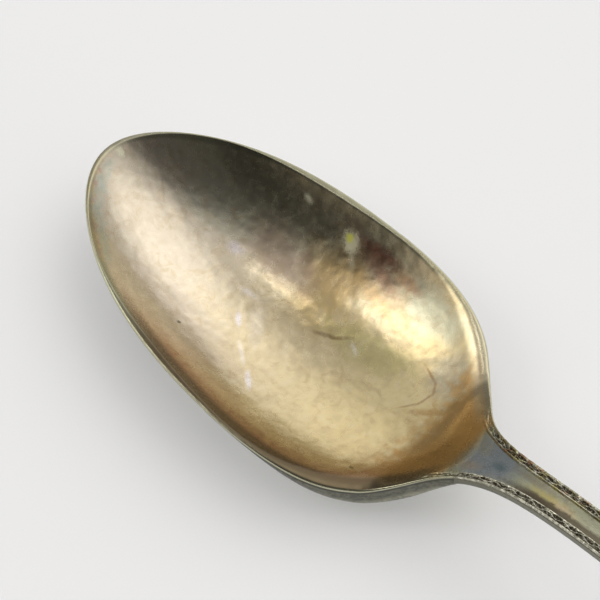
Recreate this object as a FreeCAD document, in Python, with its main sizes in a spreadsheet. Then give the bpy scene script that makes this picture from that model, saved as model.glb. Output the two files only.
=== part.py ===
import FreeCAD, Part
import math
import os
import Sketcher

# A long-handled spoon, built up the silversmith's way from five soldered pieces: the egg-shaped
# bowl, the stem, two gallery borders along the stem's edges and a drop under the heel.
# It lies on a table: +X runs from the bowl's tip to the handle's end, +Z is up, Y is across.
# "Station" is the distance from the bowl's tip, measured along X.

os.makedirs("parts", exist_ok=True)
doc = FreeCAD.newDocument("Spoon")
sheet = doc.addObject("Spreadsheet::Sheet", "Sizes")

sizes = [
    # whole spoon
    ("overall_length", 250, "tip of the bowl to end of the handle"),
    ("seam_station", 58.4, "butt seam between bowl and stem"),
    # plan of the bowl: an egg whose heel flares into the neck
    ("egg_length", 53.5, "length of the plain egg"),
    ("egg_half_width", 15.2, "half width of the plain egg at mid length"),
    ("egg_skew", 0.16, "moves the widest place towards the heel"),
    ("egg_fullness", 0.18, "fills out both ends"),
    ("egg_shoulder", 0.19, "squares the heel end"),
    ("neck_half_width", 2.05, "half width of the narrow neck"),
    ("shoulder_flare", 5.8, "extra half width where neck and egg meet"),
    ("shoulder_decay", 3.7, "how quickly the flare dies out"),
    ("shoulder_blend", 2.4, "power that blends egg and neck"),
    # hollow
    ("hollow_start", 0.6, "station of the hollow's edge at the tip"),
    ("hollow_end", 57.1, "station of the hollow's edge at the heel"),
    ("hollow_half_width", 14.7, "half width at mid length"),
    ("hollow_skew", 0.20, "as egg_skew"),
    ("hollow_fullness", 0.22, "as egg_fullness"),
    ("hollow_shoulder", -0.34, "as egg_shoulder, third power"),
    ("hollow_heel", -0.49, "narrows both ends, fourth power"),
    ("hollow_depth", 7.6, "below the rim at mid length"),
    ("bottom_fullness", 0.4, "0 is a parabola, more is fuller"),
    # side view of the rim and the handle's top
    ("rim_height", 8.5, "rim above the table at mid length"),
    ("tip_rise", 0.83, "tip above the middle of the rim"),
    ("tip_rise_reach", 30, "station where the tip's rise has died out"),
    ("rim_dip", 3.07, "depth of the dip at the heel"),
    ("rim_dip_station", 57.5, "middle of the dip"),
    ("rim_dip_reach", 16.7, "half length of the dip"),
    ("neck_rise", 9.34, "height of the arch over the rim"),
    ("neck_rise_station", 50.6, "where the neck starts to climb"),
    ("neck_rise_reach", 8.44, "how quickly it climbs"),
    ("arch_station", 92, "top of the arch"),
    # metal
    ("rim_thickness", 0.65, "edge of the bowl at tip and sides"),
    ("heel_thickness", 1.95, "edge of the bowl at the heel, and the neck"),
    ("end_thickness", 1.7, "handle at its end"),
    ("worn_flat", 0.05, "depth of the flat worn into the handle's end by the table"),
    ("belly_thickness", 0.95, "wall at the bottom of the bowl"),
    ("underside_round", 0.55, "how far the handle's lower edges are rounded up"),
    # handle's plan
    ("widening_start", 108, "station where the handle starts to widen"),
    ("widening_end", 236, "station of its full width"),
    ("end_half_width", 6.9, "half width near the end"),
    ("end_cap_length", 9.5, "length of the rounded end"),
    # borders and drop
    ("border_width", 1.1, "each border strip"),
    ("border_height", 0.42, "border above the sunk panel"),
    ("drop_start", 48.8, "front of the drop under the heel"),
    ("drop_end", 64, "back of the drop, lapping the seam"),
    ("drop_front_radius", 3.4, "round front of the drop"),
    ("drop_back_half_width", 1.5, "half width of the drop at its back end"),
    ("drop_thickness", 0.6, "drop below the bowl"),
    # helpers
    ("reach", 40, "height of the trimming blocks"),
]

for row, (alias, number, note) in enumerate(sizes, start=1):
    sheet.set("A%d" % row, alias)
    sheet.set("B%d" % row, str(number))
    sheet.set("C%d" % row, note)
    sheet.setAlias("B%d" % row, alias)
doc.recompute()


def size(alias):
    return float(getattr(sheet, alias))


length = size("overall_length")
middle = length / 2
seam = size("seam_station")
overlap = 2.0  # surfaces run past the outline by this much


def smooth_step(station, start, end):
    fraction = min(1.0, max(0.0, (station - start) / (end - start)))
    return fraction * fraction * (3 - 2 * fraction)


# ---------- plan ----------

def egg_fill(along):
    """Half width of the plain egg without its square-root ends; along is -1 at tip, 1 at heel."""
    along = min(1.15, max(-1.1, along))
    return size("egg_half_width") * (1 + size("egg_skew") * along + size("egg_fullness") * along**2
                                     + size("egg_shoulder") * along**3)


def plain_half_width(station):
    """Outline from the tip to where the rounded handle end starts."""
    egg_length = size("egg_length")
    along = min(1.0, max(-1.0, 2 * station / egg_length - 1))
    egg = egg_fill(along) * math.sqrt(max(0.0, 1 - along**2))
    if station < 0.6 * egg_length:
        return egg
    flare = size("shoulder_flare") * math.exp(-abs(station - egg_length) / size("shoulder_decay"))
    widening = smooth_step(station, size("widening_start"), size("widening_end"))
    neck = size("neck_half_width") + (size("end_half_width") - size("neck_half_width")) * widening
    power = size("shoulder_blend")
    return (egg**power + (neck + flare)**power) ** (1 / power)


def end_cap(station, inset):
    cap = size("end_cap_length")
    past = min(1.0, max(0.0, (station - (length - cap)) / (cap - inset)))
    return math.sqrt(max(0.0, 1 - past**2))


def half_width(station, inset=0.0):
    return max(0.0, plain_half_width(station) - inset) * end_cap(station, inset)


# ---------- side view ----------

def rim_line(station):
    """Rim of the bowl and top of the handle, relative to the rim at mid length."""
    tip = size("tip_rise") * max(0.0, 1 - max(0.0, station) / size("tip_rise_reach")) ** 1.3
    dip = size("rim_dip") * math.exp(-((station - size("rim_dip_station")) / size("rim_dip_reach"))**2)
    climb = max(0.0, station - size("neck_rise_station")) / size("neck_rise_reach")
    rise = size("neck_rise") * (1 - math.exp(-climb**1.5))
    past_arch = min(1.0, max(0.0, station - size("arch_station")) / (length - size("arch_station")))
    fall = size("rim_height") + size("neck_rise") - size("end_thickness") + size("worn_flat")
    return tip - dip + rise - fall * (1 - math.cos(math.pi * past_arch)) / 2


def edge_thickness(station):
    rim, heel, end = size("rim_thickness"), size("heel_thickness"), size("end_thickness")
    return (rim + (heel - rim) * smooth_step(station, 26, seam)
            + (end - heel) * smooth_step(station, size("arch_station"), length))


def dish(station, across, start, end, fill):
    """1 at the middle of a dish, 0 on its egg-shaped edge, negative outside it."""
    along = (2 * station - start - end) / (end - start)
    spread = along**2 + (across / fill(along))**2
    return (1 - spread) * (1 + size("bottom_fullness") * min(spread, 1.6))


def hollow_fill(along):
    along = min(1.02, max(-1.02, along))
    return size("hollow_half_width") * (
        1 + size("hollow_skew") * along + size("hollow_fullness") * along**2
        + size("hollow_shoulder") * along**3 + size("hollow_heel") * along**4)


def top_height(station, across):
    return size("rim_height") + rim_line(station)


def panel_height(station, across):
    return top_height(station, across) - size("border_height")


def hollow_height(station, across):
    deep = dish(station, across, size("hollow_start"), size("hollow_end"), hollow_fill)
    return top_height(station, across) - (size("hollow_depth") + rim_line(station)) * deep


def under_height(station, across):
    """Underside of bowl and handle: a deeper dish than the hollow, eased into the edge."""
    easing = 0.05
    deep = dish(station, across, 0, seam + 0.8, egg_fill)
    deep = (deep + math.sqrt(deep**2 + easing**2)) / 2
    outer_depth = size("hollow_depth") + size("belly_thickness") - size("rim_thickness")
    rounding = size("underside_round") * smooth_step(station, seam - 8, seam + 6)
    aside = across / max(size("neck_half_width"), plain_half_width(station))
    return (top_height(station, across) - edge_thickness(station)
            - (outer_depth + min(0.0, rim_line(station))) * deep + rounding * aside**2)


def drop_under_height(station, across):
    return under_height(station, across) - size("drop_thickness")


# ---------- shapes from the formulas ----------

def spaced(start, end, count):
    return [start + (end - start) * number / (count - 1) for number in range(count)]


def surface_block(name, height, stations, widths, rise):
    """Everything above (rise > 0) or below (rise < 0) a surface given by a height formula."""
    grid = [[FreeCAD.Vector(station - middle, across, height(station, across))
             for across in widths] for station in stations]
    surface = Part.BSplineSurface()
    surface.interpolate(grid)
    block = doc.addObject("Part::Feature", name)
    block.Shape = surface.toShape().extrude(FreeCAD.Vector(0, 0, rise))
    return block


def outline_block(name, inset, start):
    """The plan outline, set in by inset, as an upright prism from one station to the end."""
    first_cap = length - size("end_cap_length")
    end = length - inset
    if start == 0:
        rounded = [size("egg_length") / 2 * (1 - math.cos(math.pi * step / 30)) for step in range(24)]
        stations = rounded + spaced(47.5, 72, 22) + spaced(76, first_cap, 26)
    else:
        stations = spaced(start, 72, 14) + spaced(76, first_cap, 26)
    cap = end - first_cap
    stations += [first_cap + cap * math.sin(math.pi / 2 * step / 10) for step in range(1, 11)]
    side = [FreeCAD.Vector(station - middle, half_width(station, inset), 0) for station in stations]
    other = [FreeCAD.Vector(point.x, -point.y, 0) for point in reversed(side)]
    edges = []
    for points in (side, other):
        curve = Part.BSplineCurve()
        curve.interpolate(points)
        edges.append(curve.toShape())
    if start > 0:
        edges.append(Part.LineSegment(other[-1], side[0]).toShape())
    face = Part.Face(Part.Wire(Part.__sortEdges__(edges)))
    block = doc.addObject("Part::Feature", name)
    block.Shape = face.extrude(FreeCAD.Vector(0, 0, size("reach")))
    block.Placement = FreeCAD.Placement(FreeCAD.Vector(0, 0, -size("reach") / 4), FreeCAD.Rotation())
    return block


def trimming_box(name, start, end, low_side=None):
    """A block across the whole spoon between two stations, bound to the sheet."""
    box = doc.addObject("Part::Box", name)
    box.setExpression("Length", "(%s) - (%s)" % (end, start))
    box.setExpression("Width", "Sizes.reach / (%s)" % ("1" if low_side is None else "2"))
    box.setExpression("Height", "Sizes.reach")
    box.setExpression("Placement.Base.x", "(%s) - Sizes.overall_length / 2" % start)
    box.setExpression("Placement.Base.y", "-Sizes.reach / 2" if low_side in (None, True) else "0")
    box.setExpression("Placement.Base.z", "-Sizes.reach / 4")
    return box


def common(name, *shapes):
    both = doc.addObject("Part::MultiCommon", name)
    both.Shapes = list(shapes)
    return both


def cut(name, base, tool):
    rest = doc.addObject("Part::Cut", name)
    rest.Base = base
    rest.Tool = tool
    return rest


bowl_widths = spaced(-17, 17, 35)
handle_widths = spaced(-8, 8, 9)
bowl_stations = spaced(-overlap, seam + 1, 62)
whole_stations = spaced(-overlap, 84, 87) + spaced(88, length + overlap, 42)

outline = outline_block("Outline", 0.0, 0)
below_top = surface_block("BelowTop", top_height, whole_stations, spaced(-17, 17, 3), -size("reach"))
bowl_above_under = surface_block("BowlAboveUnder", under_height, bowl_stations, bowl_widths, size("reach"))
above_hollow = surface_block("AboveHollow", hollow_height, bowl_stations, bowl_widths, size("reach"))

# the table's plane leaves one small worn flat under the belly and one under the handle's end
table = trimming_box("Table", "-10", "Sizes.overall_length + 10")
table.setExpression("Placement.Base.z", "-Sizes.reach")

# ---------- bowl ----------

bowl_box = trimming_box("BowlRange", "-10", "Sizes.seam_station")
bowl_blank = common("BowlBlank", outline, below_top, bowl_above_under, bowl_box)
hollowed = cut("HollowedBowl", bowl_blank, above_hollow)
bowl = cut("Bowl", hollowed, table)
bowl.Label = "bowl"

# ---------- stem ----------

stem_stations = spaced(seam - overlap, 84, 28) + spaced(88, length + overlap, 42)
stem_box = trimming_box("StemRange", "Sizes.seam_station", "Sizes.overall_length + 10")
stem_above_under = surface_block("StemAboveUnder", under_height, stem_stations, handle_widths, size("reach"))
below_panel = surface_block("BelowPanel", panel_height, stem_stations, spaced(-8, 8, 3), -size("reach"))
stem_blank = common("StemBlank", outline, below_panel, stem_above_under, stem_box)
stem = cut("Stem", stem_blank, table)
stem.Label = "stem"

# ---------- borders ----------

inner_outline = outline_block("InnerOutline", size("border_width"), seam - overlap)
edge_band = cut("EdgeBand", outline, inner_outline)
borders = []
for side_name, is_right in (("right", True), ("left", False)):
    side_box = trimming_box(side_name.capitalize() + "Half", "Sizes.seam_station",
                            "Sizes.overall_length + 10", low_side=is_right)
    strip = common(side_name.capitalize() + "Strip", edge_band, below_top, side_box)
    border = cut(side_name.capitalize() + "Border", strip, below_panel)
    border.Label = "border_" + side_name
    borders.append(border)

# ---------- drop under the heel ----------


def drop_pad():
    """A tongue with a round front, tapering to the back end, as a sketched pad."""
    body = doc.addObject("PartDesign::Body", "DropPlan")
    sketch = body.newObject("Sketcher::SketchObject", "DropSketch")
    plane = [item for item in body.Origin.OriginFeatures if item.Role == "XY_Plane"][0]
    sketch.AttachmentSupport = [(plane, "")]
    sketch.MapMode = "FlatFace"
    radius = size("drop_front_radius")
    back_half = size("drop_back_half_width")
    center_x = size("drop_start") + radius - middle
    back_x = size("drop_end") - middle
    front = sketch.addGeometry(Part.ArcOfCircle(
        Part.Circle(FreeCAD.Vector(center_x, 0, 0), FreeCAD.Vector(0, 0, 1), radius),
        math.pi / 2, 3 * math.pi / 2))
    lower = sketch.addGeometry(Part.LineSegment(FreeCAD.Vector(center_x, -radius, 0),
                                                FreeCAD.Vector(back_x, -back_half, 0)))
    back = sketch.addGeometry(Part.LineSegment(FreeCAD.Vector(back_x, -back_half, 0),
                                               FreeCAD.Vector(back_x, back_half, 0)))
    upper = sketch.addGeometry(Part.LineSegment(FreeCAD.Vector(back_x, back_half, 0),
                                                FreeCAD.Vector(center_x, radius, 0)))
    start, end, center = 1, 2, 3
    for first, first_end, second, second_end in (
            (front, end, lower, start), (lower, end, back, start),
            (back, end, upper, start), (upper, end, front, start)):
        sketch.addConstraint(Sketcher.Constraint("Coincident", first, first_end, second, second_end))
    sketch.addConstraint(Sketcher.Constraint("Symmetric", back, start, back, end, -1))
    sketch.addConstraint(Sketcher.Constraint("Symmetric", front, start, front, end, -1))
    bound = (("radius", Sketcher.Constraint("Radius", front, radius), "Sizes.drop_front_radius"),
             ("back_width", Sketcher.Constraint("Distance", back, 2 * back_half),
              "2 * Sizes.drop_back_half_width"),
             ("front_place", Sketcher.Constraint("DistanceX", front, center, -1, 1, -center_x),
              "Sizes.overall_length / 2 - Sizes.drop_start - Sizes.drop_front_radius"),
             ("back_place", Sketcher.Constraint("DistanceX", back, start, -1, 1, -back_x),
              "Sizes.overall_length / 2 - Sizes.drop_end"),
             ("front_side", Sketcher.Constraint("DistanceX", front, start, -1, 1, -center_x),
              "Sizes.overall_length / 2 - Sizes.drop_start - Sizes.drop_front_radius"))
    for name, constraint, expression in bound:
        index = sketch.addConstraint(constraint)
        sketch.renameConstraint(index, name)
        sketch.setExpression("Constraints." + name, expression)
    doc.recompute()
    pad = body.newObject("PartDesign::Pad", "DropPad")
    pad.Profile = sketch
    pad.setExpression("Length", "Sizes.reach")
    pad.Midplane = True
    return body


drop_stations = spaced(size("drop_start") - overlap, size("drop_end") + overlap, 30)
drop_widths = spaced(-5, 5, 13)
above_drop = surface_block("AboveDrop", drop_under_height, drop_stations, drop_widths, size("reach"))
seat = doc.addObject("Part::MultiFuse", "DropSeat")
seat.Shapes = [common("BowlSeat", bowl_above_under, bowl_box), common("StemSeat", stem_above_under, stem_box)]
drop_blank = common("DropBlank", drop_pad(), above_drop)
drop = cut("HeelDrop", drop_blank, seat)
drop.Label = "heel_drop"

# ---------- check and write ----------

doc.recompute()
for item in doc.Objects:
    if "Invalid" in item.State or "Error" in item.State:
        raise RuntimeError("failed: " + item.Name)
pieces = [bowl, stem] + borders + [drop]
for piece in pieces:
    shape = piece.Shape
    if shape.isNull() or not shape.isValid() or len(shape.Solids) != 1:
        raise RuntimeError("bad shape: %s, %d solids" % (piece.Label, len(shape.Solids)))
    shape.exportStep("parts/%s.step" % piece.Label)
    box = shape.optimalBoundingBox()
    print("%-14s volume %8.2f mm3  x %.2f..%.2f  y %.2f..%.2f  z %.3f..%.3f" % (
        piece.Label, shape.Volume, box.XMin, box.XMax, box.YMin, box.YMax, box.ZMin, box.ZMax))
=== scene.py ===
import math

import bmesh
import bpy
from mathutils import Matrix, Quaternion, Vector, noise


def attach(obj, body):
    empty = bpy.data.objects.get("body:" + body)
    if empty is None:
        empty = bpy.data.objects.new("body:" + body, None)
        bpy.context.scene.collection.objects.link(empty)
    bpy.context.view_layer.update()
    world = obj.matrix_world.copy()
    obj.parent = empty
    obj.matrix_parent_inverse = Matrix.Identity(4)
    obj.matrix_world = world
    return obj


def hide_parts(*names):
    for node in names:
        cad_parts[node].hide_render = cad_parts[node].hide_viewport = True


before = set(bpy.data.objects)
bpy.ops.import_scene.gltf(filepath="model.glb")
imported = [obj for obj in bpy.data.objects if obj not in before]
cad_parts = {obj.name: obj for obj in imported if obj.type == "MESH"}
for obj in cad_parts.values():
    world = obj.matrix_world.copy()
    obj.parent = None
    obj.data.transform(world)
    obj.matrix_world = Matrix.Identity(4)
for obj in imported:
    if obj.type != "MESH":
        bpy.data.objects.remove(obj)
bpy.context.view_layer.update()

print("frame loaded:", len(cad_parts), "nodes")

# all shapes are worked out in millimetres from the bowl's tip and scaled on the way into the mesh
millimetre = 0.001
spoonLength = 250.0
seamStation = 58.4          # bowl and stem meet here
outsideMark = 0.05          # keeps the outer faces' distance from the rim below zero

plan = {
    "eggLength": 53.5,
    "eggHalfWidth": 15.2,
    "skew": 0.16,
    "fullness": 0.18,
    "shoulder": 0.19,
    "neckHalfWidth": 2.05,
    "flare": 5.8,
    "flareDecay": 3.7,
    "blendPower": 2.4,
    "widening": (108.0, 236.0),
    "endHalfWidth": 6.9,
    "endCap": 9.5,
    "neckEasing": 2.0,      # how far the turn into the neck is averaged
    "easeIn": (47, 50),
    "easeOut": (64, 61),
}
capStart = spoonLength - plan["endCap"]

hollow = {
    "start": 0.6,
    "end": 57.1,
    "halfWidth": 14.7,
    "terms": (1.0, 0.20, 0.22, -0.34, -0.49),
    "depth": 7.6,
    "fullness": 0.4,
    "lipSides": 0.12,       # how softly the wall turns into the rim
    "lipHeel": 1.7,
    "lipRange": (30, 57),
    "dentHeight": 0.035,
    "dentSize": 7.0,
}

profile = {
    "rimHeight": 8.5,
    "tipRise": 0.83,
    "tipReach": 30.0,
    "dip": 3.07,
    "dipStation": 57.5,
    "dipReach": 16.7,
    "shoulderLift": 0.7,
    "shoulderStation": 45.0,
    "shoulderReach": 10.0,
    "neckRise": 9.34,
    "neckStation": 50.6,
    "neckReach": 8.44,
    "wallSoftness": 3.0,    # rounds the start of the climb inside the bowl
    "archStation": 92.0,
    "rimThickness": 0.65,
    "thickenFrom": 34,
    "heelThickness": 1.95,
    "endThickness": 1.7,
    "wornFlat": 0.05,
    "bellyThickness": 0.95,
    "undersideRound": 0.55,
}


def clamp(value, low=0.0, high=1.0):
    return min(high, max(low, value))


def bell(value, middle, reach):
    return math.exp(-((value - middle) / reach) ** 2)


def smoothStep(value, start, end):
    part = clamp((value - start) / (end - start))
    return part * part * (3 - 2 * part)


def softMin(first, second, softness):
    part = clamp(0.5 + 0.5 * (second - first) / softness)
    return second + (first - second) * part - softness * part * (1 - part)


def quarterRound(part):
    return math.sqrt(1 - (1 - clamp(part)) ** 2)


def eggFill(along):
    along = clamp(along, -1.1, 1.15)
    return plan["eggHalfWidth"] * (1 + plan["skew"] * along + plan["fullness"] * along**2
                                   + plan["shoulder"] * along**3)


def hollowFill(along):
    along = clamp(along, -1.02, 1.02)
    shape = sum(term * along**power for power, term in enumerate(hollow["terms"]))
    return hollow["halfWidth"] * shape


def dish(station, across, start, end, fill):
    along = (2 * station - start - end) / (end - start)
    spread = along**2 + (across / fill(along)) ** 2
    return (1 - spread) * (1 + hollow["fullness"] * min(spread, 1.6))


def sharpHalfWidth(station):
    along = clamp(2 * station / plan["eggLength"] - 1, -1.0)
    width = eggFill(along) * math.sqrt(max(0.0, 1 - along**2))
    if station > 0.6 * plan["eggLength"]:
        flare = plan["flare"] * math.exp(-abs(station - plan["eggLength"]) / plan["flareDecay"])
        widening = smoothStep(station, *plan["widening"])
        neck = plan["neckHalfWidth"] + (plan["endHalfWidth"] - plan["neckHalfWidth"]) * widening
        power = plan["blendPower"]
        width = (width**power + (neck + flare) ** power) ** (1 / power)
    return width


# half of the spoon's width at a station, with the turn into the neck smoothed
def halfWidth(station):
    width = sharpHalfWidth(station)
    eased = smoothStep(station, *plan["easeIn"]) * smoothStep(station, *plan["easeOut"])
    if eased > 0:
        around = 0.0
        for step in range(-4, 5):
            around += sharpHalfWidth(station + plan["neckEasing"] * step / 4) * (5 - abs(step)) / 25
        width += (around - width) * eased
    past = clamp((station - capStart) / plan["endCap"])
    return width * math.sqrt(1 - past**2)


def rimLine(station, softness=0.3):
    tip = profile["tipRise"] * max(0.0, 1 - max(0.0, station) / profile["tipReach"]) ** 1.3
    dip = profile["dip"] * bell(station, profile["dipStation"], profile["dipReach"])
    lift = profile["shoulderLift"] * bell(station, profile["shoulderStation"], profile["shoulderReach"])
    past = station - profile["neckStation"]
    climb = (past + math.hypot(past, softness)) / 2 / profile["neckReach"]
    rise = profile["neckRise"] * (1 - math.exp(-climb**1.5))
    pastArch = (station - profile["archStation"]) / (spoonLength - profile["archStation"])
    pastArch = clamp(pastArch)
    fall = profile["rimHeight"] + profile["neckRise"] - profile["endThickness"] + profile["wornFlat"]
    return tip - dip + lift + rise - fall * (1 - math.cos(math.pi * pastArch)) / 2


def edgeThickness(station):
    rim, heel, end = profile["rimThickness"], profile["heelThickness"], profile["endThickness"]
    return (rim + (heel - rim) * smoothStep(station, profile["thickenFrom"], seamStation - 1)
            + (end - heel) * smoothStep(station, profile["archStation"], spoonLength))


# what every point across one station shares
class Section:
    def __init__(self, station):
        self.station = station
        self.width = halfWidth(station)
        step = 0.01
        ahead = halfWidth(min(spoonLength, station + step)) ** 2
        behind = halfWidth(max(0.0, station - step)) ** 2
        self.slope = (ahead - behind) / (min(spoonLength, station + step) - max(0.0, station - step))
        self.rim = rimLine(station)
        self.top = profile["rimHeight"] + self.rim
        self.edge = edgeThickness(station)

    def edgeDistance(self, across):
        steepness = math.sqrt(self.slope**2 + 4 * across**2) + 1e-6
        return max(0.0, self.width**2 - across**2) / steepness

    def underside(self, across):
        deep = dish(self.station, across, 0, seamStation + 0.8, eggFill)
        deep = (deep + math.sqrt(deep**2 + 0.05**2)) / 2
        outerDepth = hollow["depth"] + profile["bellyThickness"] - profile["rimThickness"]
        rounding = profile["undersideRound"] * smoothStep(self.station, seamStation - 8, seamStation + 6)
        aside = across / max(plan["neckHalfWidth"], self.width)
        return self.top - self.edge - (outerDepth + min(0.0, self.rim)) * deep + rounding * aside**2


border = {
    "width": 1.10,
    "height": 0.42,
    "ridgeEnd": 0.26,       # outer ridge, measured in from the edge
    "channelEnd": 0.84,
    "threadEnd": 0.99,
    "channelFloor": 0.04,
    "threadHeight": 0.33,
    "scrollPeriod": 2.3,    # spacing of the running scroll
    "scrollHeight": 0.30,
    "beadPeriod": 0.74,
    "beadNotch": 0.09,
    "growStart": 52.5,      # where the border rises out of the bowl's rim
    "panelHollow": 0.08,    # how far the panel between the borders sinks
}


# height above the panel across the border strip; side keeps the two strips from being copies
def borderProfile(station, inward, side):
    if inward < border["ridgeEnd"]:
        part = inward / border["ridgeEnd"]
        wander = noise.noise(Vector((station * 0.9, side * 7.0, 1.0)))
        phase = 2 * math.pi * station / border["beadPeriod"] + 3 * wander + 2 * part
        bead = 0.5 + 0.5 * math.cos(phase)
        notch = border["beadNotch"] * bead * (0.6 + 1.2 * wander)
        ridge = 0.55 + 0.45 * math.sin(math.pi * (0.25 + 0.6 * part))
        return (border["height"] - max(0.0, notch)) * ridge
    if inward < border["channelEnd"]:
        part = (inward - border["ridgeEnd"]) / (border["channelEnd"] - border["ridgeEnd"])
        aside = 2 * part - 1
        turn = 2 * math.pi * station / border["scrollPeriod"]
        turn += 1.3 * noise.noise(Vector((station * 0.45, side * 5.0, 4.0)))
        strand = bell(aside, 0.5 * math.sin(turn), 0.24)
        leaf = bell(aside, -0.55 * math.sin(turn), 0.3)
        leaf *= max(0.0, math.cos(2 * turn + 0.8)) ** 1.5
        curl = max(0.0, 1 - 4 * abs(noise.noise(Vector((station * 2.1, aside * 1.3, side * 3.0 + 9)))))
        worn = 0.8 + 0.5 * noise.noise(Vector((station * 1.3, aside, side)))
        relief = border["scrollHeight"] * worn * max(strand, 0.9 * leaf, 0.65 * curl)
        return border["channelFloor"] + relief + 0.2 * abs(aside) ** 7
    if inward < border["threadEnd"]:
        part = (inward - border["channelEnd"]) / (border["threadEnd"] - border["channelEnd"])
        return border["threadHeight"] * (0.7 + 0.3 * math.sin(math.pi * part))
    part = (inward - border["threadEnd"]) / (border["width"] - border["threadEnd"])
    return border["threadHeight"] * 0.7 * (1 - min(1.0, part))


# a grid rolled round the piece, one row per station, closed along the seam and at both ends;
# place gives a point and its distance in from the rim, depth below the rim and recess
def sheetMesh(name, stations, steps, place):
    shape = bmesh.new()
    rows = len(stations)
    bmesh.ops.create_grid(shape, x_segments=rows - 1, y_segments=steps, size=0.5)
    layers = [shape.verts.layers.float.new(layer) for layer in ("inFromRim", "belowRim", "recess")]
    for vert in shape.verts:
        row = round((vert.co.x + 0.5) * (rows - 1))
        column = round((vert.co.y + 0.5) * steps) % steps
        (station, across, height), values = place(row, column)
        vert.co = Vector((station - spoonLength / 2, across, height)) * millimetre
        for layer, value in zip(layers, values):
            vert[layer] = value
    bmesh.ops.remove_doubles(shape, verts=shape.verts, dist=2e-7)
    rims = [edge for edge in shape.edges if edge.is_boundary]
    if rims:
        for edge in rims:
            edge.smooth = False
        bmesh.ops.holes_fill(shape, edges=rims, sides=0)
    bmesh.ops.recalc_face_normals(shape, faces=shape.faces)
    for face in shape.faces:
        face.smooth = True
    mesh = bpy.data.meshes.new(name)
    shape.to_mesh(mesh)
    shape.free()
    piece = bpy.data.objects.new(name, mesh)
    bpy.context.scene.collection.objects.link(piece)
    print(name, len(mesh.vertices), "vertices")
    return piece


def spread(start, end, count):
    return [start + (end - start) * step / count for step in range(count)]


bowlMesh = {
    "topSteps": 132,
    "sideSteps": 10,
    "underSteps": 84,
    "edgeDrop": 0.33,
    "grooveDepth": 0.07,    # fine line under the rim at the shoulders
    "grooveBelow": 0.52,
    "edgeRound": 0.3,
    "edgeRoundLoss": 0.16,  # the rounding is tighter where the border has grown
    "underRound": 0.35,
}


def makeBowl():
    stations = [20 * (1 - math.cos(math.pi / 2 * step / 64)) for step in range(64)]
    stations += spread(20, 50, 60) + spread(50, seamStation, 66) + [seamStation]
    sections = [Section(station) for station in stations]
    top, side, under = bowlMesh["topSteps"], bowlMesh["sideSteps"], bowlMesh["underSteps"]

    def topHeight(section, across, distance, edgeDrop):
        station = section.station
        grown = smoothStep(station, border["growStart"], seamStation)
        land = section.top
        if grown > 0:
            inner = max(0.01, section.width - border["width"])
            shape = -border["panelHollow"] * max(0.0, 1 - (across / inner) ** 2)
            if distance < border["width"]:
                shape = borderProfile(station, distance, 1 if across > 0 else -1)
            land -= grown * (border["height"] - shape)
        wall = dish(station, across, hollow["start"], hollow["end"], hollowFill)
        soft = rimLine(station, profile["wallSoftness"])
        wall = profile["rimHeight"] + soft - (hollow["depth"] + soft) * wall
        inside = smoothStep(section.top - wall, 0.3, 2.0)
        dents = noise.noise(Vector((station, across, 0)) / hollow["dentSize"])
        wall += inside * hollow["dentHeight"] * dents
        lip = hollow["lipSides"]
        lip += (hollow["lipHeel"] - lip) * smoothStep(station, *hollow["lipRange"])
        height = softMin(wall, land, lip)
        base = section.top - edgeDrop
        rounding = bowlMesh["edgeRound"] - bowlMesh["edgeRoundLoss"] * grown
        return base + (height - base) * quarterRound(distance / rounding), grown

    def place(row, column):
        section = sections[row]
        station = section.station
        edgeDrop = min(section.edge / 2, bowlMesh["edgeDrop"])
        low = section.top - section.edge + edgeDrop
        if column <= top:
            across = -section.width * math.cos(math.pi * column / top)
            distance = section.edgeDistance(across)
            height, grown = topHeight(section, across, distance, edgeDrop)
            recess = grown * smoothStep(section.top - height, 0.12, 0.36)
            recess *= distance < border["width"]
            return (station, across, height), (distance, 0.0, recess)
        if column < top + side or column > top + side + under:
            onLeft = column < top + side
            part = (column - top if onLeft else top + 2 * side + under - column) / side
            height = section.top - edgeDrop + (low - section.top + edgeDrop) * part
            below = section.top - height
            groove = bell(below, bowlMesh["grooveBelow"], 0.1)
            groove *= bowlMesh["grooveDepth"] * smoothStep(section.edge, 1.0, 1.4)
            groove *= math.sin(math.pi * part) ** 0.5
            across = (section.width - groove) * (1 if onLeft else -1)
            return (station, across, height), (-outsideMark, below, 0.0)
        across = section.width * math.cos(math.pi * (column - top - side) / under)
        distance = section.edgeDistance(across)
        fall = (low - section.underside(across)) * quarterRound(distance / bowlMesh["underRound"])
        height = max(0.0, low - fall)
        return (station, across, height), (-distance - outsideMark, section.top - height, 0.0)

    bowl = sheetMesh("bowlShell", stations, top + 2 * side + under, place)
    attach(bowl, "root")
    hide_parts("bowl")
    return bowl


stemMesh = {"topSteps": 60, "sideSteps": 6, "underSteps": 44, "fineEnd": 76, "underRound": 0.7}


def stemStations(fine, coarse, endSteps):
    fineEnd = stemMesh["fineEnd"]
    first = spread(seamStation, fineEnd, round((fineEnd - seamStation) / fine))
    middle = spread(fineEnd, capStart, round((capStart - fineEnd) / coarse))
    cap = [capStart + plan["endCap"] * math.sin(math.pi / 2 * step / endSteps)
           for step in range(endSteps + 1)]
    return first + middle + cap


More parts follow.
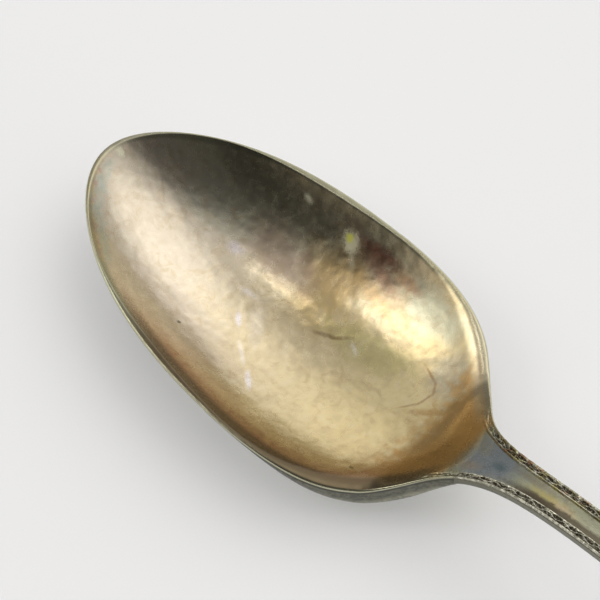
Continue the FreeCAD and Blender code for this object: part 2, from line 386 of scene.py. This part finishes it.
def makeStem():
    stations = stemStations(0.3, 0.8, 36)
    sections = [Section(station) for station in stations]
    top, side, under = stemMesh["topSteps"], stemMesh["sideSteps"], stemMesh["underSteps"]

    def place(row, column):
        section = sections[row]
        panel = section.top - border["height"]
        lowEdge = section.top - section.edge + 0.5
        if column <= top:
            across = -section.width * math.cos(math.pi * column / top)
            aside = across / max(0.01, section.width - border["width"])
            height = panel - border["panelHollow"] * max(0.0, 1 - aside**2)
            return (section.station, across, height), (section.edgeDistance(across), 0.0, 0.0)
        if top + side <= column <= top + side + under:
            across = section.width * math.cos(math.pi * (column - top - side) / under)
            distance = section.edgeDistance(across)
            rounded = quarterRound(distance / stemMesh["underRound"])
            height = max(0.0, lowEdge - (lowEdge - section.underside(across)) * rounded)
        else:
            onLeft = column < top + side
            part = (column - top if onLeft else top + 2 * side + under - column) / side
            across = section.width * (1 if onLeft else -1)
            distance = outsideMark
            height = panel + (lowEdge - panel) * part
        return (section.station, across, height), (-distance - outsideMark, section.top - height, 0.0)

    stem = sheetMesh("stemBar", stations, top + 2 * side + under, place)
    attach(stem, "root")
    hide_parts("stem")
    return stem


borderMesh = {"spacing": 0.1, "acrossSteps": 28, "underSteps": 2}


def makeBorder(side, sign):
    stations = stemStations(borderMesh["spacing"], borderMesh["spacing"] * 1.2, 80)
    sections = [Section(station) for station in stations]
    top, under = borderMesh["acrossSteps"], borderMesh["underSteps"]

    def place(row, column):
        section = sections[row]
        station = section.station
        past = clamp((station - capStart) / (plan["endCap"] - border["width"]))
        plain = halfWidth(min(station, capStart))
        inner = (plain - border["width"]) * math.sqrt(max(0.0, 1 - past**2))
        if station < capStart:
            inner = section.width - border["width"]
        panel = section.top - border["height"]
        if column <= top:
            part = column / top
            across = section.width + (inner - section.width) * part
            inward = border["width"] * part
            rise = borderProfile(station, inward, sign)
            height = panel + rise * (0.25 + 0.75 * quarterRound(inward / 0.14))
            recess = 1 - smoothStep(rise, border["channelFloor"] + 0.04, 0.3)
            recess *= smoothStep(inward, 0.2, 0.3)
            recess *= 1 - smoothStep(inward, border["threadEnd"], 1.08)
        else:
            part = (column - top) / under
            across = inner + (section.width - inner) * part
            height = panel - 0.02
            inward, recess = 0.0, 0.6
        return (station, sign * across, height), (inward, 0.0, recess)

    piece = sheetMesh("border" + side.capitalize(), stations, top + under, place)
    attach(piece, "root")
    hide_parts("border_" + side)
    return piece


# the small tongue under the heel
drop = {
    "start": 48.8,
    "end": 64.0,
    "frontRadius": 3.4,
    "backHalfWidth": 1.5,
    "thickness": 0.44,
    "sunk": 0.02,           # how far it reaches into the bowl and stem
    "ribHeight": 0.12,
    "alongSteps": 90,
    "acrossSteps": 32,
}


def makeDrop():
    front = drop["start"] + drop["frontRadius"]
    length = drop["end"] - drop["start"]
    stations = [drop["start"] + length * (1 - math.cos(math.pi * step / 2 / drop["alongSteps"]))
                for step in range(drop["alongSteps"] + 1)]
    sections = [Section(station) for station in stations]
    steps = drop["acrossSteps"]

    def tongue(station):
        if station < front:
            return math.sqrt(max(0.0, drop["frontRadius"] ** 2 - (front - station) ** 2))
        part = (station - front) / (drop["end"] - front)
        return drop["frontRadius"] + (drop["backHalfWidth"] - drop["frontRadius"]) * part

    def place(row, column):
        section = sections[row]
        width = tongue(section.station)
        recess = 0.0
        if column <= steps:
            across = -width * math.cos(math.pi * column / steps)
            height = section.underside(across) + drop["sunk"]
        else:
            across = width * math.cos(math.pi * (column - steps) / steps)
            fromEdge = min(width - abs(across), section.station - drop["start"],
                           2 * (drop["end"] - section.station))
            swell = quarterRound(fromEdge / 0.6)
            rib = drop["ribHeight"] * smoothStep(abs(across), 0.5, 0.1)
            height = section.underside(across) - (drop["thickness"] + rib) * swell
            recess = 1 - smoothStep(fromEdge, 0.0, 0.3)
        return (section.station, across, height), (0.0, 0.0, recess)

    piece = sheetMesh("heelDrop", stations, 2 * steps, place)
    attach(piece, "root")
    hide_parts("heel_drop")
    return piece


def addNode(tree, kind, settings=None, **inputs):
    made = tree.nodes.new("ShaderNode" + kind)
    for name, value in (settings or {}).items():
        setattr(made, name, value)
    for name, value in inputs.items():
        socket = made.inputs[int(name[2:])] if name.startswith("in") else made.inputs[name]
        if isinstance(value, bpy.types.NodeSocket):
            tree.links.new(value, socket)
        else:
            socket.default_value = value
    return made


# gives the material and its place in millimetres: station, across, height
def startMaterial(name):
    material = bpy.data.materials.new(name)
    material.use_nodes = True
    tree = material.node_tree
    tree.nodes.clear()
    coords = addNode(tree, "TexCoord")
    place = addNode(tree, "VectorMath", {"operation": "MULTIPLY_ADD"}, in0=coords.outputs["Object"])
    place.inputs[1].default_value = (1 / millimetre,) * 3
    place.inputs[2].default_value = (spoonLength / 2, 0, 0)
    return material, tree, place.outputs[0]


def noiseOf(tree, place, scale, detail=4.0, roughness=0.55, distortion=0.0):
    made = addNode(tree, "TexNoise", None, Vector=place, Scale=scale, Detail=detail,
                   Roughness=roughness, Distortion=distortion)
    return made.outputs["Fac"]


def attributeOf(tree, name):
    return addNode(tree, "Attribute", {"attribute_name": name}).outputs["Fac"]


def mapped(tree, value, low, high):
    made = addNode(tree, "MapRange", {"interpolation_type": "SMOOTHSTEP"}, Value=value)
    made.inputs["From Min"].default_value = low
    made.inputs["From Max"].default_value = high
    return made.outputs["Result"]


def mathOf(tree, operation, first, second):
    return addNode(tree, "Math", {"operation": operation}, in0=first, in1=second).outputs[0]


def blend(tree, part, first, second):
    made = addNode(tree, "Mix", {"data_type": "RGBA", "blend_type": "MIX"})
    for index, value in ((0, part), (6, first), (7, second)):
        if isinstance(value, bpy.types.NodeSocket):
            tree.links.new(value, made.inputs[index])
        elif index == 0:
            made.inputs[index].default_value = value
        else:
            made.inputs[index].default_value = (*value, 1.0)
    return made.outputs[2]


def times(tree, *values):
    total = values[0]
    for value in values[1:]:
        total = mathOf(tree, "MULTIPLY", total, value)
    return total


# lays a colour over the base where all the parts are high
def layer(tree, base, colour, *parts):
    return blend(tree, times(tree, *parts), base, colour)


def finishMetal(tree, colour, roughness, height, strength, distance):
    bump = addNode(tree, "Bump", None, Height=height, Strength=strength, Distance=distance)
    shader = addNode(tree, "BsdfPrincipled", None, Roughness=roughness, Normal=bump.outputs["Normal"])
    tree.links.new(colour, shader.inputs["Base Color"])
    shader.inputs["Metallic"].default_value = 1.0
    addNode(tree, "OutputMaterial", None, Surface=shader.outputs["BSDF"])
    return shader


# a soft uneven oval on the metal, lying in plan at its station and across
def ovalOf(tree, place, uneven, station, across, halfLong, halfWide, turn, soft):
    made = addNode(tree, "Mapping", {"vector_type": "TEXTURE"}, Vector=place)
    made.inputs["Location"].default_value = (station, across, 0)
    made.inputs["Rotation"].default_value = (0, 0, math.radians(turn))
    made.inputs["Scale"].default_value = (halfLong, halfWide, 1000)
    reach = addNode(tree, "VectorMath", {"operation": "LENGTH"}, in0=made.outputs[0]).outputs["Value"]
    return mapped(tree, mathOf(tree, "ADD", reach, uneven), 1 + soft, 1 - soft)


# paints a list of marks over a colour: station, across, half length, half width, turn, softness,
# strength, colour; narrow marks get the finer edge, and cover tells how much the marks hide
def paintMarks(tree, place, colour, marks, ragged):
    cover = 0.0
    edges = []
    for scale, detail in ((0.45, 4.0), (1.9, 3.0)):
        edge = mathOf(tree, "MULTIPLY_ADD", noiseOf(tree, place, scale, detail), ragged)
        edge.node.inputs[2].default_value = -ragged / 2
        edges.append(edge)
    broad, fine = edges
    for station, across, halfLong, halfWide, turn, soft, strength, tint in marks:
        uneven = fine if halfWide < 1.2 else broad
        oval = ovalOf(tree, place, uneven, station, across, halfLong, halfWide, turn, soft)
        part = mathOf(tree, "MULTIPLY", oval, strength)
        colour = blend(tree, part, colour, tint)
        cover = mathOf(tree, "MAXIMUM", part, cover)
    return colour, cover


bowlFinish = {
    "tip": (0.55, 0.485, 0.385),
    "middle": (0.62, 0.52, 0.335),
    "heelSide": (0.63, 0.505, 0.27),
    "farWall": (0.47, 0.445, 0.31),
    "heel": (0.52, 0.315, 0.115),
    "heelDark": (0.33, 0.20, 0.085),
    "nearBrown": (0.375, 0.24, 0.145),
    "nearRed": (0.34, 0.165, 0.11),
    "nearGreen": (0.25, 0.27, 0.18),
    "blotch": (0.40, 0.30, 0.17),
    "cellDark": (0.42, 0.33, 0.21),
    "cellPale": (0.78, 0.70, 0.54),
    "tipGrey": (0.44, 0.44, 0.36),
    "tipWarm": (0.56, 0.39, 0.19),
    "tipRosy": (0.46, 0.24, 0.18),
    "tipCool": (0.36, 0.42, 0.38),
    "rimLine": (0.56, 0.55, 0.39),
    "rimLand": (0.27, 0.27, 0.185),
    # partly brown tarnish, partly painted shade that hides the lip's bright reflection on the near side
    "nearLandShade": (0.115, 0.085, 0.05),
    "farLand": (0.50, 0.46, 0.34),
    # painted shade in the fine groove under the rim
    "grooveLine": (0.07, 0.07, 0.05),
    # painted shade: dark colour standing in for the shade on the side faces below the rim
    "skirtShade": (0.145, 0.14, 0.098),
    "skirtDark": (0.055, 0.057, 0.043),
    "under": (0.40, 0.39, 0.29),
    "underDark": (0.21, 0.21, 0.165),
    "bump": (0.55, 0.00010),
    "ragged": 1.3,
    "marks": (
        (41.0, -1.5, 8.0, 6.5, 10, 0.6, 0.45, (0.72, 0.60, 0.33)),
        (19.5, -9.0, 8.5, 3.4, -4, 0.6, 0.60, (0.58, 0.49, 0.41)),
        (33.0, 9.8, 4.6, 0.8, -14, 0.8, 0.55, (0.62, 0.38, 0.16)),
        (31.4, 12.0, 4.4, 0.8, -13, 0.7, 0.60, (0.33, 0.12, 0.08)),
        (43.0, 3.0, 4.2, 2.6, 8, 0.5, 0.55, (0.78, 0.66, 0.38)),
        (28.4, 8.4, 4.2, 3.0, 0, 0.5, 0.85, (0.37, 0.255, 0.11)),
        (30.5, 4.6, 4.6, 2.4, 15, 0.6, 0.75, (0.42, 0.315, 0.14)),
        (37.5, 4.6, 5.5, 2.0, 6, 0.5, 0.70, (0.47, 0.42, 0.19)),
        (21.5, 6.6, 5.0, 2.4, -8, 0.5, 0.65, (0.40, 0.30, 0.235)),
        (13.0, 6.0, 4.5, 2.6, 20, 0.5, 0.45, (0.46, 0.48, 0.37)),
        (41.0, 11.6, 5.0, 1.8, -8, 0.5, 0.60, (0.55, 0.58, 0.45)),
        (47.5, 7.5, 2.8, 2.6, -35, 0.5, 0.75, (0.38, 0.345, 0.25)),
        (36.0, 12.5, 2.0, 0.6, -4, 0.6, 0.65, (0.56, 0.32, 0.17)),
        (31.6, 13.0, 2.4, 0.6, 2, 0.6, 0.80, (0.25, 0.09, 0.06)),
        (17.2, 3.6, 0.9, 0.55, 20, 0.8, 0.50, (0.62, 0.58, 0.66)),
        (25.5, -1.2, 2.6, 0.8, -50, 0.8, 0.45, (0.66, 0.60, 0.52)),
        (32.3, 3.0, 1.4, 0.24, 22, 0.7, 0.75, (0.19, 0.125, 0.055)),
        (34.0, 3.9, 1.2, 0.20, 40, 0.7, 0.65, (0.22, 0.145, 0.06)),
        (23.7, -2.4, 0.8, 0.30, -45, 0.8, 0.65, (0.80, 0.75, 0.76)),
        (22.0, 0.8, 1.0, 0.30, 10, 0.9, 0.45, (0.78, 0.74, 0.74)),
        (30.6, -7.6, 1.1, 0.30, -40, 0.8, 0.65, (0.80, 0.76, 0.76)),
        (27.2, -5.4, 1.4, 0.24, -35, 0.9, 0.50, (0.78, 0.74, 0.70)),
        (36.0, 3.8, 0.8, 0.24, -25, 0.8, 0.50, (0.76, 0.72, 0.66)),
        (45.4, 6.5, 1.2, 0.14, -22, 0.8, 0.70, (0.28, 0.16, 0.065)),
        (46.8, 5.6, 0.8, 0.14, -58, 0.8, 0.70, (0.28, 0.16, 0.065)),
        (46.9, 4.0, 1.0, 0.14, 74, 0.8, 0.65, (0.28, 0.16, 0.065)),
        (46.0, 2.4, 1.1, 0.14, 50, 0.8, 0.60, (0.32, 0.19, 0.08)),
        (48.4, 3.0, 2.2, 0.40, 32, 0.7, 0.60, (0.44, 0.27, 0.10)),
        (20.1, -8.2, 0.24, 0.20, 0, 0.4, 0.85, (0.12, 0.11, 0.08)),
        (47.6, -8.3, 0.30, 0.22, 0, 0.5, 0.80, (0.16, 0.16, 0.06)),
    ),
    # dull crusts that hide the metal
    "deposits": (
        (27.6, 12.0, 1.15, 0.85, -20, 0.6, 0.80, (0.62, 0.60, 0.42)),
        (27.2, 12.2, 0.5, 0.4, 0, 0.5, 0.90, (0.62, 0.62, 0.09)),
        (28.7, 10.9, 0.9, 0.35, -40, 0.8, 0.45, (0.62, 0.58, 0.42)),
        (20.6, 12.2, 0.55, 0.25, 0, 0.8, 0.55, (0.62, 0.62, 0.50)),
        (23.6, -2.4, 0.8, 0.26, -45, 0.8, 0.40, (0.84, 0.79, 0.80)),
        (30.6, -7.6, 1.0, 0.26, -40, 0.8, 0.40, (0.84, 0.79, 0.80)),
        (1.3, 0.9, 0.5, 0.35, 0, 0.6, 0.70, (0.86, 0.84, 0.62)),
    ),
}

neckFinish = {
    "edge": (56.2, 58.0),   # the gilding ends and bare metal begins
    "bare": (0.42, 0.42, 0.29),
    "worn": (0.55, 0.54, 0.42),
    # painted shadow on the near half of the neck's panel
    "stain": (0.085, 0.065, 0.045),
    "handle": (0.50, 0.49, 0.385),
    "mottled": (0.22, 0.20, 0.14),
    "under": (0.37, 0.37, 0.29),
    "underDark": (0.24, 0.245, 0.20),
    "underWorn": (0.52, 0.51, 0.41),
    "bump": (0.5, 0.00008),
    "ragged": 1.5,
    "marks": (
        (60.2, 0.2, 3.8, 2.6, 0, 0.5, 0.85, (0.33, 0.37, 0.41)),
        (61.4, 0.1, 0.9, 0.5, 0, 0.7, 0.60, (0.13, 0.20, 0.22)),
        (57.6, 1.6, 1.6, 0.8, -20, 0.5, 0.60, (0.42, 0.40, 0.30)),
        (58.4, -1.3, 1.3, 0.6, 10, 0.6, 0.50, (0.46, 0.36, 0.24)),
        (64.8, -0.2, 1.7, 0.7, 0, 0.7, 0.60, (0.46, 0.48, 0.35)),
        (68.6, -0.1, 2.6, 0.5, 0, 0.9, 0.75, (0.52, 0.44, 0.17)),
        (70.6, -0.2, 1.2, 0.4, 0, 0.9, 0.60, (0.54, 0.42, 0.30)),
        (66.0, 0.7, 2.6, 0.4, 0, 0.7, 0.60, (0.30, 0.26, 0.20)),
        # painted shadow: dark strip on the panel beside the near border
        (67.5, -1.0, 3.5, 0.35, 0, 0.8, 0.85, (0.09, 0.07, 0.05)),
    ),
}


# the bare silver that neck, stem and tongue share; marks adds the stains seen on the neck and the painted
# shadow along the near side of its panel
def bareSilver(tree, place, marks):
    finish = neckFinish
    axes = addNode(tree, "SeparateXYZ", None, Vector=place)
    clouds = noiseOf(tree, place, 0.16, 5.0, 0.6)
    mottle = noiseOf(tree, place, 0.9, 4.0, 0.65, 0.6)
    base = blend(tree, mapped(tree, axes.outputs["X"], 66, 92), finish["bare"], finish["handle"])
    base = layer(tree, base, finish["worn"], mapped(tree, clouds, 0.46, 0.64), 0.6)
    base = layer(tree, base, finish["mottled"], mapped(tree, mottle, 0.48, 0.66), 0.6)
    if marks:
        base = paintMarks(tree, place, base, finish["marks"], finish["ragged"])[0]
        # painted shadow: the near half of the neck's panel darkened between about stations 63 and 112
        uneven = mathOf(tree, "ADD", axes.outputs["Y"], times(tree, mottle, 1.0))
        beside = times(tree, mapped(tree, uneven, 0.42, -0.05), mapped(tree, axes.outputs["X"], 63, 67.5),
                       mapped(tree, axes.outputs["X"], 112, 86))
        base = blend(tree, times(tree, beside, 0.85), base, finish["stain"])
    return base, clouds, mottle


def bowlMaterial():
    material, tree, place = startMaterial("gildedSilver")
    finish = bowlFinish
    inFromRim = attributeOf(tree, "inFromRim")
    belowRim = attributeOf(tree, "belowRim")
    bare, clouds, mottle = bareSilver(tree, place, True)
    axes = addNode(tree, "SeparateXYZ", None, Vector=place)
    station, across = axes.outputs["X"], axes.outputs["Y"]
    streaks = noiseOf(tree, place, 0.5, 5.0, 0.6, 1.2)
    wander = mathOf(tree, "ADD", station, times(tree, streaks, 9.0))
    base = blend(tree, mapped(tree, wander, 17, 33), finish["tip"], finish["middle"])
    base = blend(tree, mapped(tree, wander, 37, 50), base, finish["heelSide"])
    farther = mathOf(tree, "ADD", across, times(tree, streaks, 4.0))
    onFarWall = times(tree, mapped(tree, farther, 6.0, 11.0), mapped(tree, station, 37, 29))
    base = layer(tree, base, finish["farWall"], onFarWall, 0.85)
    base = paintMarks(tree, place, base, finish["marks"], finish["ragged"])[0]
    base = layer(tree, base, finish["blotch"], mapped(tree, streaks, 0.50, 0.70), 0.36)
    cells = noiseOf(tree, place, 0.85, 3.0, 0.5, 0.3)
    base = layer(tree, base, finish["cellDark"], mapped(tree, cells, 0.48, 0.68), 0.22)
    base = layer(tree, base, finish["cellPale"], mapped(tree, cells, 0.48, 0.32), 0.14)

    heelEdge = mathOf(tree, "ADD", station, times(tree, streaks, 4.4))
    heelEdge = mathOf(tree, "ADD", heelEdge, times(tree, cells, 4.0))
    base = layer(tree, base, finish["heel"], mapped(tree, heelEdge, 51.8, 55.2), 0.85)
    lowHeel = times(tree, mapped(tree, heelEdge, 50, 56), mapped(tree, across, -2.5, -7.5))
    base = layer(tree, base, finish["heelDark"], lowHeel, 0.6)
    nearSide = times(tree, mapped(tree, across, -5.0, -9.5), mapped(tree, station, 13, 25))
    fromEdge = mathOf(tree, "ADD", inFromRim, times(tree, streaks, 3.6))
    browned = times(tree, nearSide, mapped(tree, fromEdge, 6.6, 4.0))
    base = layer(tree, base, finish["nearBrown"], browned, 0.88)
    reddened = times(tree, nearSide, mapped(tree, fromEdge, 4.6, 3.4), mapped(tree, clouds, 0.42, 0.58),
                     mapped(tree, station, 45, 36))
    base = layer(tree, base, finish["nearRed"], reddened, 0.65)
    greened = times(tree, mapped(tree, inFromRim, 1.5, 0.7), mapped(tree, across, -2.0, -6.0))
    base = layer(tree, base, finish["nearGreen"], greened, 0.75)

    # rainbow tarnish in a strip along the tip
    bands = mathOf(tree, "ADD", inFromRim, times(tree, cells, 1.7))
    strip = times(tree, ovalOf(tree, place, 0.0, 4.5, -6.5, 7.0, 6.5, -35, 0.25),
                  mapped(tree, bands, 3.3, 2.5))
    base = layer(tree, base, finish["tipGrey"], strip, 0.6)
    warm = times(tree, strip, mapped(tree, bands, 1.95, 1.5), mapped(tree, mottle, 0.40, 0.56))
    base = layer(tree, base, finish["tipWarm"], warm, 0.7)
    rosy = times(tree, strip, mapped(tree, bands, 2.1, 1.6), mapped(tree, mottle, 0.52, 0.40))
    base = layer(tree, base, finish["tipRosy"], rosy, 0.55)
    cool = times(tree, strip, mapped(tree, bands, 1.9, 2.3), mapped(tree, mottle, 0.42, 0.6))
    base = layer(tree, base, finish["tipCool"], cool, 0.5)

    onNeck = mapped(tree, mathOf(tree, "ADD", station, times(tree, streaks, 1.2)),
                    *neckFinish["edge"])
    base = blend(tree, onNeck, base, bare)
    base, crust = paintMarks(tree, place, base, finish["deposits"], finish["ragged"])
    land = times(tree, mapped(tree, inFromRim, 1.5, 0.8), mapped(tree, station, 57, 54))
    onNear = times(tree, mapped(tree, across, 3.0, -3.0), mapped(tree, station, 12, 24))
    base = layer(tree, base, finish["rimLand"], land, mapped(tree, inFromRim, 0.95, 0.6), 0.7)
    # partly brown tarnish, partly painted shade: the near side's rim land and lip are darkened so the lip
    # shows no bright reflection
    nearEdgeShade = times(tree, mapped(tree, inFromRim, 2.7, 1.5), mapped(tree, station, 57, 54), onNear)
    base = layer(tree, base, finish["nearLandShade"], nearEdgeShade, 0.92)
    farEdge = times(tree, mapped(tree, inFromRim, 2.4, 1.3), mapped(tree, station, 57, 54),
                    mapped(tree, across, 3.0, 6.0), mapped(tree, station, 41, 47))
    base = layer(tree, base, finish["farLand"], farEdge, 0.6)
    uneven = mathOf(tree, "ADD", inFromRim, times(tree, mottle, 0.12))
    rubbed = times(tree, mapped(tree, uneven, 0.30, 0.17), mapped(tree, station, 60, 54))
    base = layer(tree, base, finish["rimLine"], rubbed, 0.85)
    base = blend(tree, attributeOf(tree, "recess"), base, borderFinish["floor"])

    # the side face and the underside
    outside = mapped(tree, inFromRim, 0.0, -0.02)
    darkened = mathOf(tree, "ADD", clouds, times(tree, mottle, 0.5))
    under = blend(tree, mapped(tree, darkened, 0.68, 0.86), finish["under"], finish["underDark"])
    shoulder = mapped(tree, station, 24, 42)
    # painted shade: the side face and the underside's edge just below the rim take the dark side colour
    under = layer(tree, under, finish["skirtShade"], mapped(tree, belowRim, 3.4, 1.8), 0.9)
    flecks = noiseOf(tree, place, 1.8, 4.0, 0.7)
    rough = times(tree, mapped(tree, flecks, 0.46, 0.56), mapped(tree, belowRim, 2.6, 1.9), shoulder)
    under = layer(tree, under, finish["skirtDark"], rough, 0.7)
    bright = mapped(tree, mathOf(tree, "ADD", belowRim, times(tree, mottle, 0.16)), 0.36, 0.26)
    under = layer(tree, under, finish["rimLine"], bright, 0.8)
    # painted shade: a dark line in the groove under the rim at the shoulders
    line = times(tree, mapped(tree, belowRim, 0.26, 0.36), mapped(tree, belowRim, 0.90, 0.70), shoulder)
    under = layer(tree, under, finish["grooveLine"], line, 0.9)
    base = blend(tree, outside, base, under)
    grime = times(tree, outside, mapped(tree, belowRim, 2.6, 1.8), mapped(tree, belowRim, 0.30, 0.42),
                  shoulder, mapped(tree, station, 58.0, 54.0), 0.5)

    roughness = mathOf(tree, "ADD", times(tree, mottle, 0.18), 0.165)
    roughness = mathOf(tree, "ADD", roughness, times(tree, outside, 0.10))
    roughness = mathOf(tree, "MAXIMUM", roughness, times(tree, crust, 0.6))
    dents = noiseOf(tree, place, 0.55, 1.0, 0.4)
    height = mathOf(tree, "ADD", times(tree, mottle, 0.16), times(tree, dents, 1.2))
    height = mathOf(tree, "ADD", height, times(tree, cells, 0.16))
    height = mathOf(tree, "ADD", height, times(tree, outside, flecks, 0.9))
    metal = finishMetal(tree, base, roughness, height, *finish["bump"])
    dull = mathOf(tree, "MAXIMUM", crust, grime)
    tree.links.new(mathOf(tree, "SUBTRACT", 1.0, dull), metal.inputs["Metallic"])
    return material


def stemMaterial():
    material, tree, place = startMaterial("stemSilver")
    finish = neckFinish
    base, clouds, mottle = bareSilver(tree, place, True)
    grain = noiseOf(tree, place, 3.0, 3.0)
    outside = mapped(tree, attributeOf(tree, "inFromRim"), 0.0, -0.02)
    below = attributeOf(tree, "belowRim")
    under = blend(tree, mapped(tree, clouds, 0.44, 0.6), finish["under"], finish["underDark"])
    worn = times(tree, mapped(tree, below, 1.2, 2.2), mapped(tree, mottle, 0.42, 0.6), 0.5)
    under = blend(tree, worn, under, finish["underWorn"])
    # painted shade: the stem's side faces below the panel take the same dark side colour
    under = layer(tree, under, bowlFinish["skirtShade"], mapped(tree, below, 2.6, 1.4), 0.9)
    base = blend(tree, outside, base, under)
    scratches = addNode(tree, "Mapping", None, Vector=place)
    scratches.inputs["Scale"].default_value = (0.35, 6.0, 2.0)
    fine = noiseOf(tree, scratches.outputs[0], 1.6, 3.0)
    roughness = mathOf(tree, "ADD", times(tree, mottle, 0.22), times(tree, fine, 0.22))
    roughness = mathOf(tree, "ADD", roughness, 0.08)
    height = mathOf(tree, "ADD", times(tree, mottle, 0.5), times(tree, fine, 0.25))
    finishMetal(tree, base, roughness, mathOf(tree, "ADD", height, times(tree, grain, 0.15)), *finish["bump"])
    return material


borderFinish = {
    "ridge": (0.66, 0.64, 0.52),
    "tarnish": (0.36, 0.35, 0.24),
    "gold": (0.47, 0.41, 0.15),
    "orange": (0.45, 0.20, 0.10),
    "grime": (0.13, 0.125, 0.09),
    "floor": (0.06, 0.05, 0.035),
    "bump": (0.4, 0.00005),
}


def borderMaterial():
    material, tree, place = startMaterial("borderSilver")
    finish = borderFinish
    axes = addNode(tree, "SeparateXYZ", None, Vector=place)
    speckle = noiseOf(tree, place, 1.5, 4.0, 0.7)
    patches = noiseOf(tree, place, 0.7, 3.0, 0.6)
    warm = noiseOf(tree, place, 1.1, 2.0, 0.5, 0.8)
    far = mapped(tree, axes.outputs["Y"], -1.0, 1.0)
    base = blend(tree, mapped(tree, speckle, 0.5, 0.68), finish["ridge"], finish["tarnish"])
    base = layer(tree, base, finish["gold"], far, mapped(tree, patches, 0.46, 0.58), 0.8)
    stained = times(tree, far, mapped(tree, warm, 0.54, 0.64), mapped(tree, axes.outputs["X"], 100, 60))
    base = layer(tree, base, finish["orange"], stained, 0.8)
    base = layer(tree, base, finish["tarnish"], far, mapped(tree, speckle, 0.5, 0.35), 0.45)
    base = layer(tree, base, finish["grime"], mapped(tree, speckle, 0.40, 0.56), 0.55)
    base = blend(tree, attributeOf(tree, "recess"), base, finish["floor"])
    roughness = mathOf(tree, "ADD", times(tree, speckle, 0.25), 0.14)
    finishMetal(tree, base, roughness, speckle, *finish["bump"])
    return material


dropFinish = {"seam": (0.09, 0.08, 0.055), "bump": (0.45, 0.00006)}


def dropMaterial():
    material, tree, place = startMaterial("dropSilver")
    base, _, mottle = bareSilver(tree, place, False)
    base = layer(tree, base, dropFinish["seam"], attributeOf(tree, "recess"), 0.75)
    roughness = mathOf(tree, "ADD", times(tree, mottle, 0.3), 0.18)
    finishMetal(tree, base, roughness, mottle, *dropFinish["bump"])
    return material


bowl = makeBowl()
stem = makeStem()
borders = [makeBorder("left", 1), makeBorder("right", -1)]
heelDrop = makeDrop()

bowl.data.materials.append(bowlMaterial())
stem.data.materials.append(stemMaterial())
borderMetal = borderMaterial()
for piece in borders:
    piece.data.materials.append(borderMetal)
heelDrop.data.materials.append(dropMaterial())
print("finishes on")

studio = {
    "floorColour": (0.69, 0.69, 0.70),
    "floorGlow": 0.25,
    "floorSize": 2.5,
    "lightColour": (1.0, 0.985, 0.96),
    "base": 0.84,
    # azimuth and elevation of the middle, inner and outer angle of the soft edge, brightness added
    "lobes": (
        (162, 52, 10, 36, 0.95),
        (-158, 34, 8, 36, 0.35),
        (-46, 42, 6, 18, 1.6),
        (-56, 51, 2, 10, 1.7),
        (-85, 75, 2, 6, 4.4),
        (-100, 66, 8, 26, -0.33),
    ),
    # the same angles and the part of the light that is left there
    "shades": (
        (30, 27, 32, 62, 0.12),
        (-4, 22, 12, 28, 0.32),
        (-100, 8, 14, 38, 0.35),
    ),
}


def direction(azimuth, elevation):
    turn, tilt = math.radians(azimuth), math.radians(elevation)
    return Vector((math.sin(turn) * math.cos(tilt), -math.cos(turn) * math.cos(tilt), math.sin(tilt)))


def lobeOf(tree, place, azimuth, elevation, inner, outer):
    dot = addNode(tree, "VectorMath", {"operation": "DOT_PRODUCT"}, in0=place)
    dot.inputs[1].default_value = direction(azimuth, elevation)
    return mapped(tree, dot.outputs["Value"], math.cos(math.radians(outer)), math.cos(math.radians(inner)))


def makeWorld():
    world = bpy.data.worlds.new("studio")
    bpy.context.scene.world = world
    world.use_nodes = True
    tree = world.node_tree
    tree.nodes.clear()
    place = addNode(tree, "TexCoord").outputs["Generated"]
    total = studio["base"]
    for azimuth, elevation, inner, outer, amount in studio["lobes"]:
        lobe = lobeOf(tree, place, azimuth, elevation, inner, outer)
        total = mathOf(tree, "ADD", mathOf(tree, "MULTIPLY", lobe, amount), total)
    for azimuth, elevation, inner, outer, left in studio["shades"]:
        lobe = lobeOf(tree, place, azimuth, elevation, inner, outer)
        kept = mathOf(tree, "SUBTRACT", 1.0, mathOf(tree, "MULTIPLY", lobe, 1 - left))
        total = mathOf(tree, "MULTIPLY", total, kept)
    background = addNode(tree, "Background", None, Strength=total)
    background.inputs["Color"].default_value = (*studio["lightColour"], 1.0)
    addNode(tree, "OutputWorld", None, Surface=background.outputs[0])


def makeFloor():
    shape = bmesh.new()
    bmesh.ops.create_grid(shape, x_segments=1, y_segments=1, size=studio["floorSize"])
    mesh = bpy.data.meshes.new("floor")
    shape.to_mesh(mesh)
    shape.free()
    floor = bpy.data.objects.new("floor", mesh)
    bpy.context.scene.collection.objects.link(floor)
    material = bpy.data.materials.new("paleFloor")
    material.use_nodes = True
    shader = material.node_tree.nodes["Principled BSDF"]
    shader.inputs["Base Color"].default_value = (*studio["floorColour"], 1.0)
    shader.inputs["Roughness"].default_value = 0.9
    shader.inputs["Emission Color"].default_value = (1.0, 1.0, 1.0, 1.0)
    shader.inputs["Emission Strength"].default_value = studio["floorGlow"]
    mesh.materials.append(material)


view = {
    "azimuth": 43.96,
    "elevation": 62.0,
    "distance": 0.3,
    "lens": 165.5,
    "aimStation": 48.1,     # the camera stands square to this place on the rim
    "turnLeft": 2.24,       # and is then turned to centre the bowl, in degrees
    "tiltUp": 2.22,
}


def makeCamera():
    data = bpy.data.cameras.new("camera")
    data.lens = view["lens"]
    data.sensor_width = 36.0
    data.clip_start = 0.01
    camera = bpy.data.objects.new("camera", data)
    bpy.context.scene.collection.objects.link(camera)
    back = direction(view["azimuth"], view["elevation"])
    aim = Vector((view["aimStation"] - spoonLength / 2, 0, profile["rimHeight"])) * millimetre
    camera.location = aim + back * view["distance"]
    camera.rotation_mode = "QUATERNION"
    turned = Quaternion((0, 1, 0), math.radians(view["turnLeft"]))
    tilted = Quaternion((1, 0, 0), math.radians(view["tiltUp"]))
    camera.rotation_quaternion = (-back).to_track_quat("-Z", "Y") @ turned @ tilted
    bpy.context.scene.camera = camera


makeWorld()
makeFloor()
makeCamera()
print("studio and camera ready")
bpy.context.scene.view_settings.view_transform = "Standard"
